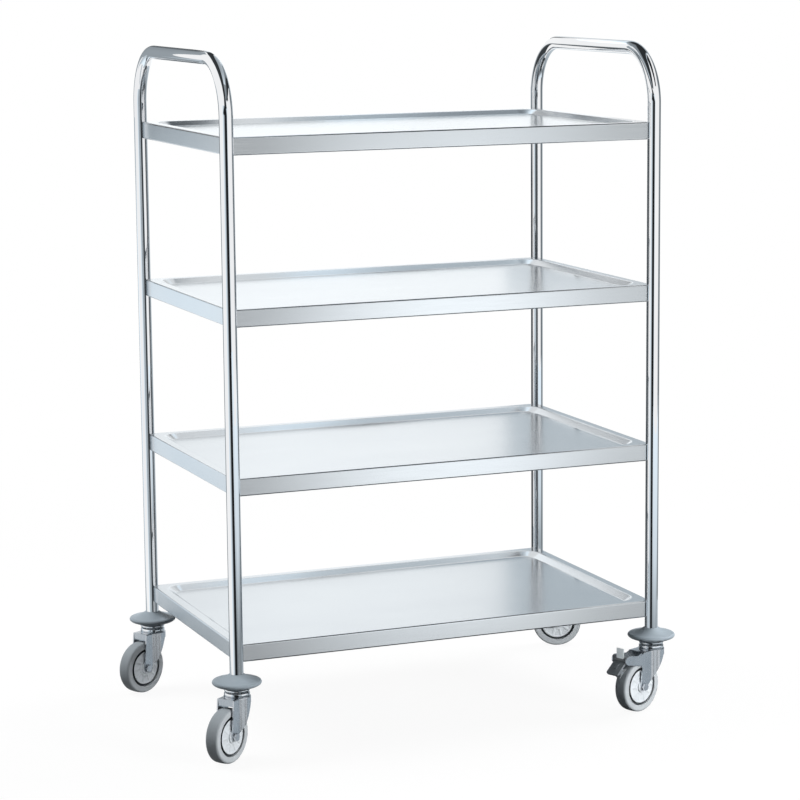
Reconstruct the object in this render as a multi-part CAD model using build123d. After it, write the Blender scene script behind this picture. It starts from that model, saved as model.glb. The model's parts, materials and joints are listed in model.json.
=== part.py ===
from build123d import *
from math import asin, atan2, cos, pi, radians, sin, sqrt
import os

# Four-tier serving cart: two bent-tube end frames carry four pressed trays on swivel casters.
# Millimetres. Origin on the floor under the plan centre, X along the trays, -Y the front, +Z up.

# End frames
frame_length = 860.0
frame_width = 540.0
tube_diameter = 25.0
tube_wall = 1.2
handle_bend_radius = 100.0
handle_straight = 34.5

# Trays
tray_names = ("bottom", "lower", "upper", "top")
tray_pitch = 303.3
skirt_height = 32.0
sheet = 1.0
rim_width = 18.0
slope_run = 14.5
recess_depth = 9.0
deck_corner_radius = 22.0
rim_edge_radius = 1.5
hem_width = 11.0
notch_clearance = 0.15

# Hat-section stiffeners under each deck
stiffener_count = 2
stiffener_width = 44.0
stiffener_flange = 11.0
stiffener_height = 12.0
stiffener_end_gap = 10.0

# Tray bolts and the rivet nuts in the tubes
bolt_diameter = 6.0
bolt_head_diameter = 12.0
bolt_head_height = 4.0
bolt_drop = 20.5
bolt_hole_clearance = 0.3
rivet_nut_diameter = 8.8
rivet_nut_length = 9.0
rivet_collar_diameter = 12.0
rivet_collar_height = 2.0
fixing_gap = 0.05

# Leg ends and bumpers
leg_reveal = 19.5
leg_insert_length = 28.0
insert_clearance = 0.1
bumper_diameter = 90.0
bumper_height = 25.5
bumper_floor = 10.0
bumper_rim_height = 10.5
bumper_shoulder = 4.2
bumper_edge = 5.0
bumper_flare = 1.8
bumper_foot_diameter = 64.0
bumper_lip = 0.8

# Caster swivel
stem_diameter = 12.0
stem_hole_clearance = 0.25
race_diameter = 46.0
upper_race_height = 5.5
lower_race_height = 7.0
race_gap = 1.5
race_edge_radius = 1.5
ball_diameter = 6.0
ball_spacing = 0.3
ball_seat_gap = 0.05
ball_running_gap = 0.3
kingpin_running_gap = 0.06
kingpin_head_diameter = 22.0
kingpin_head_height = 4.5
swivel_gap = 0.3

# Caster forks
fork_sheet = 2.5
crown_clearance = 14.5
crown_diameter = 50.0
crown_edge_radius = 1.8
waist_radius = 20.0
plain_trail = 34.0
braked_trail = 41.0
nose_depth = 11.0
knee_reach = 10.0
knee_drop = 13.0
shank_reach = 26.0
shank_rise = 16.0
leg_end_radius = 8.0
lip_reach = 2.0
lip_drop = 12.0

# Wheels
wheel_diameter = 100.0
tyre_width = 26.0
tyre_shoulder = 7.0
wheel_side_gap = 3.0
hub_rim_diameter = 74.0
hub_rim_width = 16.0
hub_face_diameter = 69.0
hub_face_width = 25.0
hub_boss_diameter = 24.0
hub_boss_gap = 0.5
hub_ribs = 10
hub_rib_width = 3.0
hub_pocket_inner = 30.0
hub_pocket_outer = 61.0
hub_pocket_depth = 1.0
bond_gap = 0.05

# Axles
axle_diameter = 8.0
axle_hole_clearance = 0.2
axle_hex = 13.0
axle_head_height = 5.3
axle_nut_height = 8.0
axle_thread_end = 1.0
sleeve_diameter = 12.0
sleeve_clearance = 0.1
wheel_running_gap = 0.06

# Pedal brakes
pivot_reach = 43.0
pivot_drop = 9.0
pivot_diameter = 6.0
pedal_running_gap = 0.06
arm_ear_radius = 8.5
arm_dip = 5.0
arm_depth = 25.0
saddle_reach = 26.0
saddle_drop = 9.0
barrel_diameter = 14.0
barrel_side_gap = 0.4
pedal_reach = 37.6
pedal_slope = 39.6
pedal_width = 28.0
pedal_thickness = 4.0
pedal_corner_radius = 4.0
release_offset = 3.5
release_thickness = 2.5
release_width = 16.6
release_height = 22.5
brake_travel = 14.0
shoe_gap = 0.5
shoe_thickness = 1.5
shoe_width = 10.0
shoe_start = 27.0
shoe_sweep = 24.0
shoe_web_width = 7.0
shoe_web_sweep = 10.0

# Casters: place along X, place along Y, swivel angle at rest, braked or not
casters = {
    "front_left": (-1, -1, 216.0, False),
    "front_right": (1, -1, 202.0, True),
    "back_left": (-1, 1, 208.0, False),
    "back_right": (1, 1, -22.0, True),
}

# Heights and places that follow from the sizes above
tube_radius = tube_diameter / 2
leg_x = frame_length / 2 - tube_radius
leg_y = frame_width / 2 - tube_radius
axle_height = wheel_diameter / 2
crown_bottom = wheel_diameter + crown_clearance
crown_top = crown_bottom + fork_sheet
lower_race_top = crown_top + lower_race_height
upper_race_bottom = lower_race_top + race_gap
caster_height = upper_race_bottom + upper_race_height
ball_height = (lower_race_top + upper_race_bottom) / 2
ball_circle_radius = (race_diameter + stem_diameter) / 4
tube_end = caster_height + bumper_floor
bumper_top = caster_height + bumper_height
bottom_rim = bumper_top + leg_reveal + skirt_height
rims = {name: bottom_rim + index * tray_pitch for index, name in enumerate(tray_names)}
handle_height = rims[tray_names[-1]] + handle_straight + handle_bend_radius
fork_inside = tyre_width + 2 * wheel_side_gap
fork_outer = fork_inside / 2 + fork_sheet
deck_inset = rim_width + slope_run
through = 2 * fork_inside + crown_diameter


def ring(outer, inner, low, high):
    """An upright ring or, with no inner radius, a disc."""
    body = extrude(Circle(outer), high - low)
    if inner:
        body -= extrude(Circle(inner), high - low)
    return Pos(0, 0, low) * body


def across(shape, x, z):
    """Lay a shape that was built along Z along the caster's axle line instead."""
    return Pos(x, 0, z) * Rot(-90, 0, 0) * shape


def side_plate(outline, low, high):
    """Extrude a side-view outline, drawn as (trail, height), from y = low to y = high."""
    return Pos(0, low, 0) * (Rot(90, 0, 0) * extrude(outline, -(high - low)))


def polygon(*points):
    return make_face(Polyline(*points, close=True))


def corners():
    return [(sx, sy) for sx in (-1, 1) for sy in (-1, 1)]


def end_frame(side):
    """One inverted U of tube: two legs, two bends and the push bar, drilled for the rivet nuts."""
    x = side * leg_x
    path = FilletPolyline(
        (x, -leg_y, tube_end),
        (x, -leg_y, handle_height),
        (x, leg_y, handle_height),
        (x, leg_y, tube_end),
        radius=handle_bend_radius,
    )
    section = Circle(tube_radius) - Circle(tube_radius - tube_wall)
    tube = sweep(Pos(x, -leg_y, tube_end) * section, path)
    for name in tray_names:
        for sy in (-1, 1):
            hole = ring(rivet_nut_diameter / 2 + fixing_gap, 0, 0, tube_diameter)
            tube -= fixing_place(side, sy, rims[name]) * hole
    return tube


def fixing_place(sx, sy, rim):
    """Frame of one tray fixing: on the tube's axis, Z pointing diagonally into the tray."""
    return Plane(origin=(sx * leg_x, sy * leg_y, rim - bolt_drop), z_dir=(-sx, -sy, 0)).location


def tray_outline(inset):
    """The tray's plan inset by a distance, with a round notch at each corner for the tube."""
    outline = Rectangle(2 * (leg_x - inset), 2 * (leg_y - inset))
    for sx, sy in corners():
        outline -= Pos(sx * leg_x, sy * leg_y) * Circle(tube_radius + notch_clearance + inset)
    return outline


def pan(inset, drop):
    """The tapered recess: a loft from the rim's inner edge down to the deck."""
    top_radius = deck_corner_radius + slope_run
    top = RectangleRounded(2 * (leg_x - inset), 2 * (leg_y - inset), top_radius)
    low_inset = inset + slope_run
    low = RectangleRounded(2 * (leg_x - low_inset), 2 * (leg_y - low_inset), deck_corner_radius)
    return loft([Pos(0, 0, -drop) * top, Pos(0, 0, -drop - recess_depth) * low])


def tray():
    """One pressed tray with its rim at z = 0: recessed deck, flat rim, skirt and hem."""
    block = extrude(tray_outline(0), -skirt_height)
    block = fillet(block.faces().sort_by(Axis.Z)[-1].edges(), rim_edge_radius)
    hollow = Pos(0, 0, -sheet) * extrude(tray_outline(sheet), -skirt_height)
    hem = extrude(tray_outline(sheet), sheet) - extrude(tray_outline(sheet + hem_width), sheet)
    slope_angle = atan2(recess_depth, slope_run)
    pan_shift = sheet * (1 - cos(slope_angle)) / sin(slope_angle)
    body = block - hollow + Pos(0, 0, -skirt_height) * hem
    body += pan(rim_width - pan_shift, sheet)
    body -= pan(rim_width, 0)
    for sx, sy in corners():
        hole = ring(bolt_diameter / 2 + bolt_hole_clearance, 0, 0, tube_diameter)
        body -= fixing_place(sx, sy, 0) * hole
    return body


def stiffeners(rim):
    """Hat channels spot-welded across the underside of one deck."""
    crown = stiffener_width - 2 * stiffener_flange
    hang = (Align.CENTER, Align.MAX)
    section = Rectangle(stiffener_width, sheet, align=hang)
    section += Rectangle(crown, stiffener_height, align=hang)
    section -= Rectangle(crown - 2 * sheet, stiffener_height - sheet, align=hang)
    length = 2 * (leg_y - deck_inset - stiffener_end_gap)
    underside = rim - recess_depth - sheet
    pitch = 2 * (leg_x - deck_inset) / stiffener_count
    first = -pitch * (stiffener_count - 1) / 2
    channel = side_plate(section, -length / 2, length / 2)
    return [Pos(first + pitch * i, 0, underside) * channel for i in range(stiffener_count)]


def rivet_nut():
    """A rivet nut set in the tube wall, along Z from the tube's axis."""
    radius = rivet_nut_diameter / 2
    collar_radius = rivet_collar_diameter / 2
    face = sqrt(tube_radius**2 - radius**2) - fixing_gap
    collar_top = sqrt((tube_radius - tube_wall) ** 2 - collar_radius**2) - fixing_gap
    bore = bolt_diameter / 2 + fixing_gap
    body = ring(radius, bore, face - rivet_nut_length, face)
    return body + ring(collar_radius, bore, collar_top - rivet_collar_height, collar_top)


def tray_bolt():
    """A button-head bolt through the notch wall into the rivet nut."""
    seat = tube_radius + notch_clearance + sheet + fixing_gap
    tip = sqrt(tube_radius**2 - (rivet_nut_diameter / 2) ** 2) - rivet_nut_length
    head = ring(bolt_head_diameter / 2, 0, seat, seat + bolt_head_height)
    head = fillet(head.edges().sort_by(Axis.Z)[-1], bolt_head_height / 2)
    return head + ring(bolt_diameter / 2, 0, tip, seat)


def leg_insert():
    """The threaded plug fixed in the bottom of a leg."""
    radius = tube_radius - tube_wall - insert_clearance
    bore = stem_diameter / 2 + insert_clearance
    return ring(radius, bore, tube_end, tube_end + leg_insert_length)


def bumper():
    """A flared disc bumper with a socket for the tube and a hole for the caster's stem."""
    hole = stem_diameter / 2 + stem_hole_clearance
    socket = tube_radius + insert_clearance
    rim = bumper_diameter / 2
    foot = bumper_foot_diameter / 2
    widest = caster_height + bumper_rim_height
    collar = socket + bumper_lip
    shoulder = (rim - bumper_edge, widest + bumper_shoulder)
    flare = ((collar + shoulder[0]) / 2, (bumper_top + shoulder[1]) / 2 - bumper_flare)
    under = TangentArc((foot, caster_height), (rim, widest), tangent=(1, 0))
    edge = EllipticalCenterArc((shoulder[0], widest), bumper_edge, bumper_shoulder, 0, arc_size=90)
    dome = ThreePointArc(shoulder, flare, (collar, bumper_top))
    rest = Polyline(
        (collar, bumper_top),
        (socket, bumper_top),
        (socket, tube_end),
        (hole, tube_end),
        (hole, caster_height),
        (foot, caster_height),
    )
    return revolve(Plane.XZ * make_face([under, edge, dome, rest]), Axis.Z)


def caster_stem():
    """Threaded stem, upper ball race, kingpin and riveted kingpin head, turned as one piece."""
    radius = stem_diameter / 2
    race = ring(race_diameter / 2, 0, upper_race_bottom, caster_height)
    race = fillet(race.edges().filter_by(GeomType.CIRCLE), race_edge_radius)
    groove = Torus(ball_circle_radius, ball_diameter / 2 + ball_running_gap)
    head_top = crown_bottom - swivel_gap
    head = ring(kingpin_head_diameter / 2, 0, head_top - kingpin_head_height, head_top)
    shank = ring(radius, 0, head_top, tube_end + leg_insert_length)
    return race - Pos(0, 0, ball_height) * groove + shank + head


def race_balls():
    """The balls of one swivel race."""
    count = int(2 * pi * ball_circle_radius / (ball_diameter + ball_spacing))
    ball = Pos(ball_circle_radius, 0, ball_height) * Sphere(ball_diameter / 2)
    return [Rot(0, 0, 360 * i / count) * ball for i in range(count)]


def leg_outline(trail):
    """Side view of a fork: nose, slanting front edge, rounded axle end and steep back edge."""
    nose = -crown_diameter / 2
    knee = (-knee_reach, crown_top - knee_drop)
    shank = (trail - shank_reach, axle_height + shank_rise)
    reach = sqrt(shank_reach**2 + shank_rise**2)
    touch = atan2(shank_rise, -shank_reach) + pi / 2 - asin(leg_end_radius / reach)
    touch_point = (trail + leg_end_radius * cos(touch), axle_height + leg_end_radius * sin(touch))
    bottom = (trail, axle_height - leg_end_radius)
    back = trail + leg_end_radius
    edge = Polyline(
        (back, axle_height),
        (trail + lip_reach, crown_top),
        (nose, crown_top),
        (nose, crown_top - nose_depth),
        knee,
        shank,
        touch_point,
    )
    return make_face([edge, ThreePointArc(touch_point, bottom, (back, axle_height))])


def arm_outline(trail):
    """Side view of a brake arm: a strap from the fork leg out to the ear round the pedal pivot."""
    pivot_x = trail + pivot_reach
    pivot_z = crown_top - pivot_drop
    back = trail + leg_end_radius
    strap = polygon(
        (trail - leg_end_radius, crown_top),
        (back, crown_top - arm_dip),
        (pivot_x, pivot_z + arm_ear_radius),
        (pivot_x, pivot_z - arm_ear_radius),
        (back, crown_top - arm_depth),
        (trail - leg_end_radius, crown_top - arm_depth),
    )
    return strap + Pos(pivot_x, pivot_z) * Circle(arm_ear_radius)


def fork_plan(crown_radius, width, reach, corner_radius):
    """Plan of a fork: a round crown that runs smoothly into two straight cheeks."""
    plan = Circle(crown_radius) + Pos(reach / 2, 0) * Rectangle(reach, width)
    return fillet(plan.vertices().filter_by_position(Axis.X, 0, crown_radius), corner_radius)


def fork(braked):
    """A pressed fork with its lower ball race; a braked fork also has arms and a saddle."""
    trail = braked_trail if braked else plain_trail
    back = trail + leg_end_radius
    reach = back + pivot_reach
    half = fork_inside / 2
    outer = fork_plan(crown_diameter / 2, 2 * fork_outer, reach, waist_radius)
    inner = fork_plan(crown_diameter / 2 - fork_sheet, fork_inside, 2 * reach, waist_radius + fork_sheet)
    block = extrude(outer, crown_top)
    block = fillet(block.faces().sort_by(Axis.Z)[-1].edges(), crown_edge_radius)
    shell = block - extrude(inner, crown_bottom)
    side = leg_outline(trail)
    if braked:
        side += arm_outline(trail)
    body = shell & side_plate(side, -crown_diameter, crown_diameter)
    lip = trail + lip_reach
    mouth = polygon((lip, 0), (lip, crown_top), (2 * reach, crown_top), (2 * reach, 0))
    body -= side_plate(mouth, -half, half)
    if braked:
        drop = (saddle_reach, crown_top - saddle_drop)
        bridge = polygon(
            (lip, crown_top),
            (lip + drop[0], drop[1]),
            (lip + drop[0], drop[1] - fork_sheet),
            (lip, crown_bottom),
        )
        pivot_hole = Cylinder(pivot_diameter / 2 + fixing_gap, through)
        body -= across(pivot_hole, trail + pivot_reach, crown_top - pivot_drop)
    else:
        bridge = polygon(
            (lip - fork_sheet, crown_bottom),
            (lip, crown_bottom),
            (lip, crown_top - lip_drop),
            (lip - fork_sheet, crown_top - lip_drop),
        )
    body += side_plate(bridge, -half, half)
    race = ring(race_diameter / 2, 0, crown_top, lower_race_top)
    race = fillet(race.edges().sort_by(Axis.Z)[-1], race_edge_radius)
    body += race
    body -= Pos(0, 0, ball_height) * Torus(ball_circle_radius, ball_diameter / 2 + ball_seat_gap)
    body -= ring(stem_diameter / 2 + kingpin_running_gap, 0, 0, caster_height)
    axle_hole = Cylinder(axle_diameter / 2 + axle_hole_clearance, through)
    return body - across(axle_hole, trail, axle_height)


def hexagon(flats, low, high):
    body = extrude(RegularPolygon(flats / 2, 6, major_radius=False), high - low)
    return Pos(0, 0, low) * body


def axle_bolt():
    """The wheel's hex bolt, along Z about the axle's centre."""
    tip = -fork_outer - axle_nut_height - axle_thread_end
    shank = ring(axle_diameter / 2, 0, tip, fork_outer)
    return shank + hexagon(axle_hex, fork_outer, fork_outer + axle_head_height)


def axle_nut():
    bore = ring(axle_diameter / 2 + fixing_gap, 0, -fork_outer - axle_nut_height, -fork_outer)
    return hexagon(axle_hex, -fork_outer - axle_nut_height, -fork_outer) - bore


def axle_sleeve():
    """The spacer that the bolt clamps between the fork legs and the wheel turns on."""
    bore = axle_diameter / 2 + sleeve_clearance
    return ring(sleeve_diameter / 2, bore, -fork_inside / 2, fork_inside / 2)


def tyre():
    """A solid tyre with rounded shoulders."""
    bore = hub_rim_diameter / 2 + bond_gap
    body = extrude(Circle(wheel_diameter / 2), tyre_width / 2, both=True)
    body = fillet(body.edges().filter_by(GeomType.CIRCLE), tyre_shoulder)
    return body - extrude(Circle(bore), tyre_width, both=True)


def hub():
    """A moulded wheel centre: rim, ribbed face on both sides and a bored boss."""
    boss = fork_inside / 2 - hub_boss_gap
    face = hub_face_width / 2
    body = extrude(Circle(hub_rim_diameter / 2), hub_rim_width / 2, both=True)
    body += extrude(Circle(hub_face_diameter / 2), face, both=True)
    body += extrude(Circle(hub_boss_diameter / 2), boss, both=True)
    pocket = Circle(hub_pocket_outer / 2) - Circle(hub_pocket_inner / 2)
    for i in range(hub_ribs):
        rib = Pos(hub_pocket_outer / 2, 0) * Rectangle(hub_pocket_outer, hub_rib_width)
        pocket -= Rot(0, 0, 360 * i / hub_ribs) * rib
    for low in (-face, face - hub_pocket_depth):
        body -= Pos(0, 0, low) * extrude(pocket, hub_pocket_depth)
    bore = sleeve_diameter / 2 + wheel_running_gap
    return body - extrude(Circle(bore), fork_inside, both=True)


def shoe_sector(inner, outer, start, sweep, width):
    """Part of a ring round the braked wheel, between two angles from the trail line."""
    large = 4 * (wheel_diameter + pivot_reach)
    ends = [radians(start), radians(start + sweep)]
    wedge = polygon((0, 0), *[(large * cos(a), large * sin(a)) for a in ends])
    sector = (Circle(outer) - Circle(inner)) & wedge
    plate = side_plate(sector, -width / 2, width / 2)
    return Pos(braked_trail, 0, axle_height) * plate


def released(shape):
    """Swing a brake piece from its place on the tyre back to the released rest position."""
    pivot = Pos(braked_trail + pivot_reach, 0, crown_top - pivot_drop)
    return pivot * Rot(0, -brake_travel, 0) * pivot.inverse() * shape


def release_slot(gap):
    """The release tab's plate, beside the pivot pin and standing up from the barrel."""
    x = braked_trail + pivot_reach + release_offset + release_thickness / 2
    plate = Box(
        release_thickness + 2 * gap,
        release_width + 2 * gap,
        release_height,
        align=(Align.CENTER, Align.CENTER, Align.MIN),
    )
    return Pos(x, 0, crown_top - pivot_drop) * plate


def brake_pedal():
    """The rocking pedal: barrel on the pivot, sloping foot tab and the web behind the shoe."""
    half = fork_inside / 2 - barrel_side_gap
    pivot = Pos(braked_trail + pivot_reach, 0, crown_top - pivot_drop)
    tab = Box(
        pedal_reach,
        pedal_width,
        pedal_thickness,
        align=(Align.MIN, Align.CENTER, Align.CENTER),
    )
    tip = tab.edges().filter_by(Axis.Z).group_by(Axis.X)[-1]
    tab = fillet(tip, pedal_corner_radius)
    body = pivot * Rot(-90, 0, 0) * Cylinder(barrel_diameter / 2, 2 * half)
    body += pivot * Rot(0, pedal_slope, 0) * tab
    shoe_back = wheel_diameter / 2 + shoe_gap + shoe_thickness + bond_gap
    pivot_distance = sqrt(pivot_reach**2 + (crown_top - pivot_drop - axle_height) ** 2)
    web_start = shoe_start + (shoe_sweep - shoe_web_sweep) / 2
    web = shoe_sector(shoe_back, pivot_distance, web_start, shoe_web_sweep, shoe_web_width)
    body += released(web)
    body -= pivot * Rot(-90, 0, 0) * Cylinder(pivot_diameter / 2 + pedal_running_gap, through)
    return body - release_slot(fixing_gap)


def brake_shoe():
    """The curved spring-steel strip that the pedal presses on the tyre."""
    inner = wheel_diameter / 2 + shoe_gap
    return released(shoe_sector(inner, inner + shoe_thickness, shoe_start, shoe_sweep, shoe_width))


def brake_pin():
    """The pedal's pivot pin, pressed into the two arms and flush with them."""
    pin = ring(pivot_diameter / 2, 0, -fork_outer, fork_outer)
    return across(pin, braked_trail + pivot_reach, crown_top - pivot_drop)


def caster_pieces(braked):
    """Every piece of one caster, on the floor under its swivel axis with the wheel trailing to +X."""
    trail = braked_trail if braked else plain_trail
    pieces = {
        "leg_insert": leg_insert(),
        "bumper": bumper(),
        "caster_stem": caster_stem(),
        "race_balls": Compound(race_balls()),
        "fork": fork(braked),
        "axle_bolt": across(axle_bolt(), trail, axle_height),
        "axle_nut": across(axle_nut(), trail, axle_height),
        "axle_sleeve": across(axle_sleeve(), trail, axle_height),
        "tyre": across(tyre(), trail, axle_height),
        "hub": across(hub(), trail, axle_height),
    }
    if braked:
        pieces["brake_pedal"] = brake_pedal()
        pieces["brake_release"] = release_slot(0)
        pieces["brake_shoe"] = brake_shoe()
        pieces["brake_pin"] = brake_pin()
    return pieces


def build():
    """All nodes of the cart by name."""
    nodes = {"frame_left": end_frame(-1), "frame_right": end_frame(1)}
    blank = tray()
    bolts = []
    nuts = []
    for name, rim in rims.items():
        nodes["shelf_" + name] = Pos(0, 0, rim) * blank
        nodes["stiffeners_" + name] = Compound(stiffeners(rim))
        for sx, sy in corners():
            bolts.append(fixing_place(sx, sy, rim) * tray_bolt())
            nuts.append(fixing_place(sx, sy, rim) * rivet_nut())
    nodes["shelf_bolts"] = Compound(bolts)
    nodes["shelf_rivet_nuts"] = Compound(nuts)
    for place, (sx, sy, angle, braked) in casters.items():
        spot = Location((sx * leg_x, sy * leg_y, 0), (0, 0, angle))
        for piece, shape in caster_pieces(braked).items():
            nodes[piece + "_" + place] = spot * shape
    return nodes


os.makedirs("parts", exist_ok=True)
for node, shape in build().items():
    export_step(shape, os.path.join("parts", node + ".step"))
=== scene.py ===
import json
import math

import bmesh
import bpy
from mathutils import Matrix, Vector


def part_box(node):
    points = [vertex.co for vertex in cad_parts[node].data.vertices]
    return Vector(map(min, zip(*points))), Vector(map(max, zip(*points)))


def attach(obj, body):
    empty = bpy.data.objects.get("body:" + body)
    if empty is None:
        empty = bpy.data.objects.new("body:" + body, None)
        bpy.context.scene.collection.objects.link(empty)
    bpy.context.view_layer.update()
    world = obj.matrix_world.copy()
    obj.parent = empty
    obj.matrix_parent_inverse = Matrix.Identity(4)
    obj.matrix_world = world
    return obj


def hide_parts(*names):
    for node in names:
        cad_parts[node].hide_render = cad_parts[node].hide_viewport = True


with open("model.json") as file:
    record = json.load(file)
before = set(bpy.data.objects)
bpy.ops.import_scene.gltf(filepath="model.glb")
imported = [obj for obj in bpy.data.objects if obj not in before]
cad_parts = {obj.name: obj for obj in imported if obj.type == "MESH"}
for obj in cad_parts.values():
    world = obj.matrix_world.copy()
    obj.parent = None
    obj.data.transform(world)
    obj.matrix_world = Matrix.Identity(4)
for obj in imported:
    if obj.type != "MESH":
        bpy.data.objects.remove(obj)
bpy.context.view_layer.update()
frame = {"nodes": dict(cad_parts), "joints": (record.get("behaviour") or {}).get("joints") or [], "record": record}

nodes = frame["nodes"]
joints = {joint["name"]: joint for joint in frame["joints"]}
casterPlaces = [name[len("swivel_"):] for name in joints if name.startswith("swivel_")]
print("frame loaded:", len(nodes), "nodes,", len(casterPlaces), "casters")


# node helpers for the finishes

def startFinish(name):
    material = bpy.data.materials.new(name)
    material.use_nodes = True
    tree = material.node_tree
    return material, tree, tree.nodes["Principled BSDF"]


def addNode(tree, kind, inputs=None, **settings):
    node = tree.nodes.new(kind)
    for key, value in settings.items():
        setattr(node, key, value)
    for key, value in (inputs or {}).items():
        node.inputs[key].default_value = value
    return node


def addNoise(tree, stretch, detail=3.0, roughness=0.55):
    place = addNode(tree, "ShaderNodeTexCoord")
    mapping = addNode(tree, "ShaderNodeMapping", {"Scale": stretch})
    noise = addNode(tree, "ShaderNodeTexNoise", {"Scale": 1.0, "Detail": detail, "Roughness": roughness})
    tree.links.new(place.outputs["Object"], mapping.inputs["Vector"])
    tree.links.new(mapping.outputs["Vector"], noise.inputs["Vector"])
    return noise.outputs["Fac"]


def addRange(tree, source, low, high, fromLow=0.25, fromHigh=0.75):
    node = addNode(tree, "ShaderNodeMapRange", {"From Min": fromLow, "From Max": fromHigh,
                                                "To Min": low, "To Max": high})
    tree.links.new(source, node.inputs["Value"])
    return node.outputs["Result"]


def setStops(ramp, stops):  # position and colour of each stop
    elements = ramp.color_ramp.elements
    while len(elements) < len(stops):
        elements.new(0.5)
    for element, (position, colour) in zip(elements, stops):
        element.position = position
        element.color = (*colour, 1.0)


def addTint(tree, source, dark, light, darkEnd=0.3, lightStart=0.7):
    ramp = addNode(tree, "ShaderNodeValToRGB")
    setStops(ramp, ((darkEnd, dark), (lightStart, light)))
    tree.links.new(source, ramp.inputs["Fac"])
    return ramp.outputs["Color"]


def addBump(tree, shader, source, strength, distance):
    bump = addNode(tree, "ShaderNodeBump", {"Strength": strength, "Distance": distance})
    tree.links.new(source, bump.inputs["Height"])
    tree.links.new(bump.outputs["Normal"], shader.inputs["Normal"])


def addPaintedShade(tree, colour, paintedShade):  # painted shade: a darker second colour where the mesh's mask is set, in a hub's groove and over a tyre's tread
    mark = addNode(tree, "ShaderNodeAttribute", attribute_name="paintedShade")
    mix = addNode(tree, "ShaderNodeMixRGB", {"Color2": (*paintedShade, 1.0)})
    tree.links.new(mark.outputs["Fac"], mix.inputs["Fac"])
    tree.links.new(colour, mix.inputs["Color1"])
    return mix.outputs["Color"]


def steelFinish(name, look):
    material, tree, shader = startFinish(name)
    shader.inputs["Metallic"].default_value = 1.0
    grain = addNoise(tree, look["grain"])
    cloud = addNoise(tree, look["cloud"], detail=2.0)
    tree.links.new(addTint(tree, cloud, look["dark"], look["light"]), shader.inputs["Base Color"])
    tree.links.new(addRange(tree, grain, *look["rough"]), shader.inputs["Roughness"])
    addBump(tree, shader, grain, look["bump"], steelGrainDepth)
    return material


def mouldedFinish(name, look):
    material, tree, shader = startFinish(name)
    grain = addNoise(tree, look["grain"])
    cloud = addNoise(tree, look["cloud"], detail=2.0)
    colour = addTint(tree, cloud, look["dark"], look["light"])
    # painted shade: the second colour goes where the mesh's mask is set
    if "paintedShade" in look:
        colour = addPaintedShade(tree, colour, look["paintedShade"])
    tree.links.new(colour, shader.inputs["Base Color"])
    tree.links.new(addRange(tree, grain, *look["rough"]), shader.inputs["Roughness"])
    shader.inputs["Specular IOR Level"].default_value = look["shine"]
    shader.inputs["Metallic"].default_value = look.get("metal", 0.0)
    addBump(tree, shader, grain, look["bump"], look["bumpDepth"])
    return material


steelGrainDepth = 0.0002
mirrorSharp = (0.0003, 0.0006)  # so smooth that Cycles traces singular rays, which the tubes' cards need
steelLooks = {
    "polishedTube": {"grain": (900, 900, 40), "cloud": (9, 9, 3), "dark": (0.83, 0.84, 0.86),
                     "light": (0.89, 0.90, 0.91), "rough": mirrorSharp, "bump": 0.02},
    "satinSheet": {"grain": (14, 900, 900), "cloud": (2, 5, 5), "dark": (0.64, 0.67, 0.70),
                   "light": (0.68, 0.71, 0.735), "rough": (0.18, 0.27), "bump": 0.03},
    "zincPlate": {"grain": (220, 220, 90), "cloud": (30, 30, 20), "dark": (0.52, 0.55, 0.585),
                  "light": (0.59, 0.62, 0.655), "rough": (0.20, 0.30), "bump": 0.008},
    "brightFastener": {"grain": (700, 700, 700), "cloud": (90, 90, 90), "dark": (0.55, 0.57, 0.60),
                       "light": (0.70, 0.71, 0.73), "rough": (0.16, 0.30), "bump": 0.04},
    "raceSteel": {"grain": (700, 700, 700), "cloud": (90, 90, 90), "dark": (0.78, 0.80, 0.82),
                  "light": (0.86, 0.87, 0.89), "rough": mirrorSharp, "bump": 0.03},
    "springSteel": {"grain": (500, 500, 500), "cloud": (60, 60, 60), "dark": (0.80, 0.82, 0.84),
                    "light": (0.86, 0.88, 0.90), "rough": (0.30, 0.42), "bump": 0.03},
}
mouldedLooks = {
    "bumperRubber": {"grain": (1400, 1400, 1400), "cloud": (30, 30, 30), "dark": (0.29, 0.343, 0.382),
                     "light": (0.333, 0.386, 0.43), "rough": (0.42, 0.58), "shine": 0.35,
                     "bump": 0.10, "bumpDepth": 0.0002},
    # the tyre's second colour is painted shade on its tread
    "tyreRubber": {"grain": (1100, 1100, 1100), "cloud": (40, 40, 40), "dark": (0.50, 0.535, 0.56),
                   "light": (0.56, 0.595, 0.62), "rough": (0.48, 0.66), "shine": 0.3,
                   "bump": 0.12, "bumpDepth": 0.0003, "paintedShade": (0.33, 0.365, 0.39)},
    # the hub's near-black second colour is painted shade in the groove between hub and tyre
    "hubPlastic": {"grain": (900, 900, 900), "cloud": (35, 35, 35), "dark": (0.71, 0.755, 0.79),
                   "light": (0.79, 0.835, 0.87), "rough": (0.34, 0.48), "shine": 0.45,
                   "bump": 0.06, "bumpDepth": 0.0002, "paintedShade": (0.035, 0.04, 0.045)},
    "pedalPlastic": {"grain": (900, 900, 900), "cloud": (60, 60, 60), "dark": (0.15, 0.168, 0.182),
                     "light": (0.20, 0.22, 0.235), "rough": (0.30, 0.45), "shine": 0.8,
                     "bump": 0.12, "bumpDepth": 0.0003},
    "releasePlastic": {"grain": (900, 900, 900), "cloud": (60, 60, 60), "dark": (0.78, 0.83, 0.845),
                       "light": (0.85, 0.895, 0.91), "rough": (0.40, 0.55), "shine": 0.4, "metal": 0.6,
                       "bump": 0.08, "bumpDepth": 0.0002},
}
finishes = {name: steelFinish(name, look) for name, look in steelLooks.items()}
finishes.update({name: mouldedFinish(name, look) for name, look in mouldedLooks.items()})
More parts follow.
